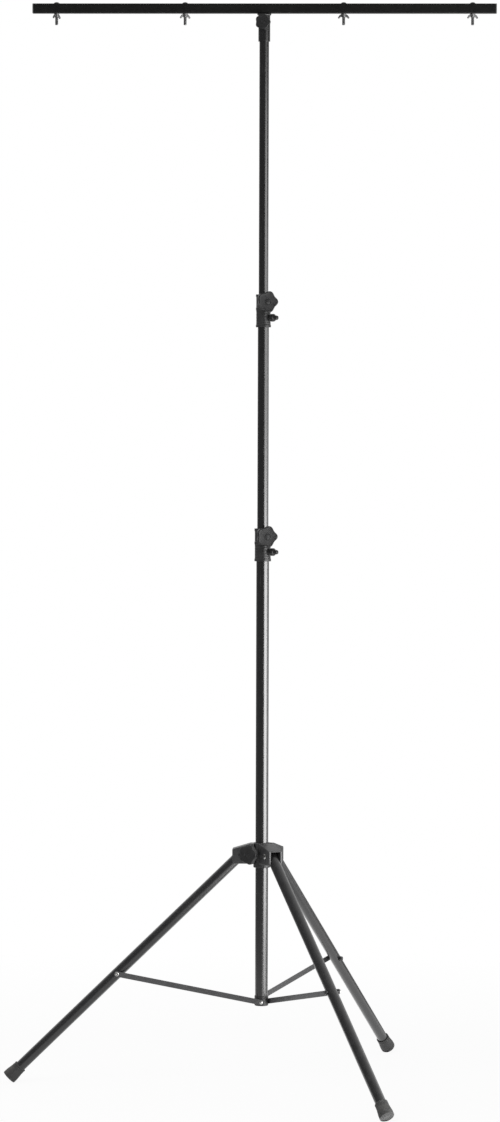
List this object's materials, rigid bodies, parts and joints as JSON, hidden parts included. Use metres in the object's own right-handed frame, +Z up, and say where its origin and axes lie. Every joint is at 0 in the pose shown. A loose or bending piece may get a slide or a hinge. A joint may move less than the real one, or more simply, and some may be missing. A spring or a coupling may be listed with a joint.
{
  "type": "light stand",
  "caption": "Folding tripod light stand with a telescopic mast, clamp knobs, safety pins and a crossbar that carries lamps on bolts with wing nuts.",
  "frame": {"origin": "bottom centre of the stand's bounding box, on the floor; the mast's axis is 37 mm from it towards +X", "axes": "+Z up along the mast; +X along the crossbar, towards the right of the picture; +Y away from the viewer"},
  "size_m": [1.274, 1.1742, 2.8135],
  "materials": {
    "black_powder_coat": "semi-gloss black powder coat",
    "black_bar_coat": "satin black powder coat",
    "grey_black_plastic": "satin glass-filled nylon",
    "knob_plastic": "fine matt grain",
    "black_rubber": "matt",
    "zinc_plate": "bright zinc plate",
    "blackened_steel": "blackened",
    "strut_paint": "satin dark grey paint"
  },
  "bodies": {
    "column": {"column_tube": "black_powder_coat", "column_foot": "grey_black_plastic", "lower_collar": "grey_black_plastic", "lower_pin_housing": "blackened_steel", "strut_rivet_left": "zinc_plate", "strut_rivet_front": "zinc_plate", "strut_rivet_rear": "zinc_plate"},
    "lower_clamp": {"lower_knob": "knob_plastic", "lower_clamp_screw": "blackened_steel"},
    "lower_safety_pin": {"lower_pin": "zinc_plate", "lower_pin_knob": "knob_plastic"},
    "middle_mast": {"middle_tube": "black_powder_coat", "middle_guide_bush": "grey_black_plastic", "upper_collar": "grey_black_plastic", "upper_pin_housing": "blackened_steel"},
    "upper_clamp": {"upper_knob": "knob_plastic", "upper_clamp_screw": "blackened_steel"},
    "upper_safety_pin": {"upper_pin": "zinc_plate", "upper_pin_knob": "knob_plastic"},
    "upper_mast": {"upper_tube": "black_powder_coat", "upper_guide_bush": "grey_black_plastic"},
    "crossbar": {"crossbar": "black_bar_coat", "crossbar_sleeve": "black_powder_coat", "bar_end_cap_left": "black_rubber", "bar_end_cap_right": "black_rubber", "lamp_bolt_1": "zinc_plate", "lamp_bolt_2": "zinc_plate", "lamp_bolt_3": "zinc_plate", "lamp_bolt_4": "zinc_plate"},
    "crossbar_clamp": {"crossbar_knob": "knob_plastic", "crossbar_clamp_screw": "blackened_steel"},
    "hub": {"hub": "grey_black_plastic", "leg_pivot_pin_left": "zinc_plate", "leg_pivot_pin_front": "zinc_plate", "leg_pivot_pin_rear": "zinc_plate"},
    "hub_clamp": {"hub_knob": "knob_plastic", "hub_clamp_screw": "blackened_steel"},
    "wing_nut_1": {"wing_nut_1": "zinc_plate"},
    "wing_nut_2": {"wing_nut_2": "zinc_plate"},
    "wing_nut_3": {"wing_nut_3": "zinc_plate"},
    "wing_nut_4": {"wing_nut_4": "zinc_plate"},
    "leg_left": {"leg_tube_left": "black_powder_coat", "leg_plug_left": "grey_black_plastic", "foot_cap_left": "black_rubber", "strut_bolt_left": "zinc_plate"},
    "strut_left": {"strut_left": "strut_paint", "strut_bolt_head_left": "zinc_plate"},
    "leg_front": {"leg_tube_front": "black_powder_coat", "leg_plug_front": "grey_black_plastic", "foot_cap_front": "black_rubber", "strut_bolt_front": "zinc_plate"},
    "strut_front": {"strut_front": "strut_paint", "strut_bolt_head_front": "zinc_plate"},
    "leg_rear": {"leg_tube_rear": "black_powder_coat", "leg_plug_rear": "grey_black_plastic", "foot_cap_rear": "black_rubber", "strut_bolt_rear": "zinc_plate"},
    "strut_rear": {"strut_rear": "strut_paint", "strut_bolt_head_rear": "zinc_plate"}
  },
  "joints": [
    {"name": "hub_slide", "type": "slide", "parent": "column", "child": "hub", "axis": [0, 0, 1], "range_m": [0, 0.4393]},
    {"name": "middle_mast_slide", "type": "slide", "parent": "column", "child": "middle_mast", "axis": [0, 0, 1], "range_m": [-0.52, 0.42]},
    {"name": "upper_mast_slide", "type": "slide", "parent": "middle_mast", "child": "upper_mast", "axis": [0, 0, 1], "range_m": [-0.65, 0.3]},
    {"name": "crossbar_swivel", "type": "hinge", "parent": "upper_mast", "child": "crossbar", "pos_m": [0.03696, 0, 2.7971], "axis": [0, 0, 1], "continuous": true},
    {"name": "hub_knob_turn", "type": "hinge", "parent": "hub", "child": "hub_clamp", "pos_m": [0.03696, 0, 0.6076], "axis": [-0.5, -0.866, 0], "range_deg": [0, 540]},
    {"name": "lower_knob_turn", "type": "hinge", "parent": "column", "child": "lower_clamp", "pos_m": [0.03696, 0, 1.4328], "axis": [0.2588, -0.9659, 0], "range_deg": [0, 540]},
    {"name": "upper_knob_turn", "type": "hinge", "parent": "middle_mast", "child": "upper_clamp", "pos_m": [0.03696, 0, 2.0398], "axis": [0.2588, -0.9659, 0], "range_deg": [0, 540]},
    {"name": "crossbar_knob_turn", "type": "hinge", "parent": "crossbar", "child": "crossbar_clamp", "pos_m": [0.03696, 0, 2.7608], "axis": [-0.1045, -0.9945, 0], "range_deg": [0, 540]},
    {"name": "lower_safety_pin_pull", "type": "slide", "parent": "column", "child": "lower_safety_pin", "axis": [0.829, -0.5592, 0], "range_m": [0, 0.008], "stiffness_N_per_m": 800},
    {"name": "upper_safety_pin_pull", "type": "slide", "parent": "middle_mast", "child": "upper_safety_pin", "axis": [0.829, -0.5592, 0], "range_m": [0, 0.008], "stiffness_N_per_m": 800},
    {"name": "wing_nut_turn_1", "type": "hinge", "parent": "crossbar", "child": "wing_nut_1", "pos_m": [-0.50104, 0, 2.7846], "axis": [0, 0, -1], "continuous": true},
    {"name": "wing_nut_turn_2", "type": "hinge", "parent": "crossbar", "child": "wing_nut_2", "pos_m": [-0.16804, 0, 2.7846], "axis": [0, 0, -1], "continuous": true},
    {"name": "wing_nut_turn_3", "type": "hinge", "parent": "crossbar", "child": "wing_nut_3", "pos_m": [0.24196, 0, 2.7846], "axis": [0, 0, -1], "continuous": true},
    {"name": "wing_nut_turn_4", "type": "hinge", "parent": "crossbar", "child": "wing_nut_4", "pos_m": [0.57496, 0, 2.7846], "axis": [0, 0, -1], "continuous": true},
    {"name": "leg_fold_left", "type": "hinge", "parent": "hub", "child": "leg_left", "pos_m": [-0.01704, 0, 0.6026], "axis": [0, -1, 0], "range_deg": [0, 42.9]},
    {"name": "strut_fold_left", "type": "hinge", "parent": "column", "child": "strut_left", "pos_m": [0.03696, 0, 0.217], "axis": [0, 1, 0], "range_deg": [0, 67.63]},
    {"name": "leg_fold_front", "type": "hinge", "parent": "hub", "child": "leg_front", "pos_m": [0.06396, -0.04677, 0.6026], "axis": [0.866, 0.5, 0], "range_deg": [0, 42.9]},
    {"name": "strut_fold_front", "type": "hinge", "parent": "column", "child": "strut_front", "pos_m": [0.03696, 0, 0.217], "axis": [-0.866, -0.5, 0], "range_deg": [0, 67.63]},
    {"name": "leg_fold_rear", "type": "hinge", "parent": "hub", "child": "leg_rear", "pos_m": [0.06396, 0.04677, 0.6026], "axis": [-0.866, 0.5, 0], "range_deg": [0, 42.9]},
    {"name": "strut_fold_rear", "type": "hinge", "parent": "column", "child": "strut_rear", "pos_m": [0.03696, 0, 0.217], "axis": [0.866, -0.5, 0], "range_deg": [0, 67.63]}
  ],
  "couplings": [
    {"joint": "leg_fold_left", "follows": "hub_slide", "rad_per_m": 1.7004},
    {"joint": "strut_fold_left", "follows": "hub_slide", "rad_per_m": 2.6828},
    {"joint": "leg_fold_front", "follows": "hub_slide", "rad_per_m": 1.7004},
    {"joint": "strut_fold_front", "follows": "hub_slide", "rad_per_m": 2.6828},
    {"joint": "leg_fold_rear", "follows": "hub_slide", "rad_per_m": 1.7004},
    {"joint": "strut_fold_rear", "follows": "hub_slide", "rad_per_m": 2.6828}
  ]
}
